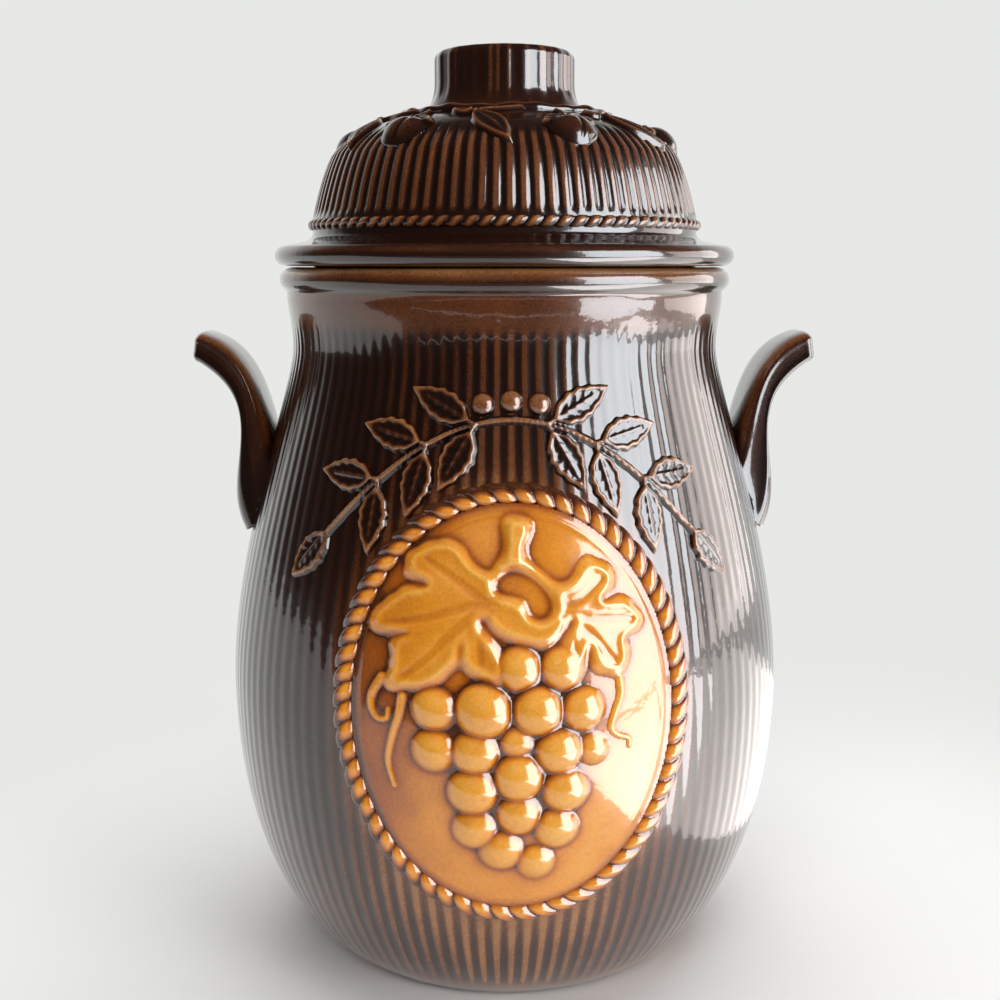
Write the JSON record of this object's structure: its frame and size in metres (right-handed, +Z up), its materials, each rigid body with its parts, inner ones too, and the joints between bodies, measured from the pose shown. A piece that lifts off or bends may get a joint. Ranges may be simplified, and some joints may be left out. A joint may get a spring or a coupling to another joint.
{
  "type": "rumtopf jar",
  "caption": "Bellied glazed stoneware fruit jar with horn-shaped lug handles, a vine medallion and a domed lid with a locating skirt that lifts off.",
  "frame": {"origin": "middle of the flat foot, on the jar's axis", "axes": "+Z up along the jar's axis, front with the medallion towards -Y, handles along X"},
  "size_m": [0.211, 0.1947, 0.3],
  "materials": {
    "brown_glaze": "glossy dark brown glaze that breaks to rust brown on raised edges",
    "amber_glaze": "glossy honey amber glaze, browner in the recesses, finely crazed"
  },
  "bodies": {
    "pot": {"pot_body": "brown_glaze", "left_handle": "brown_glaze", "right_handle": "brown_glaze", "medallion_field": "amber_glaze", "medallion_rope": "amber_glaze", "grape_bunch": "amber_glaze", "left_vine_leaf": "amber_glaze", "right_vine_leaf": "amber_glaze", "vine_stem": "amber_glaze", "tendrils": "amber_glaze", "garland_stem": "brown_glaze", "garland_leaves": "brown_glaze", "garland_berries": "brown_glaze"},
    "lid": {"lid_shell": "brown_glaze", "lid_rope_band": "brown_glaze", "lid_knob": "brown_glaze", "lid_fruits": "brown_glaze", "lid_leaves": "brown_glaze", "lid_twig": "brown_glaze"}
  },
  "joints": [
    {"name": "lid_lift", "type": "slide", "parent": "pot", "child": "lid", "axis": [0, 0, 1], "range_m": [0, 0.12]}
  ]
}
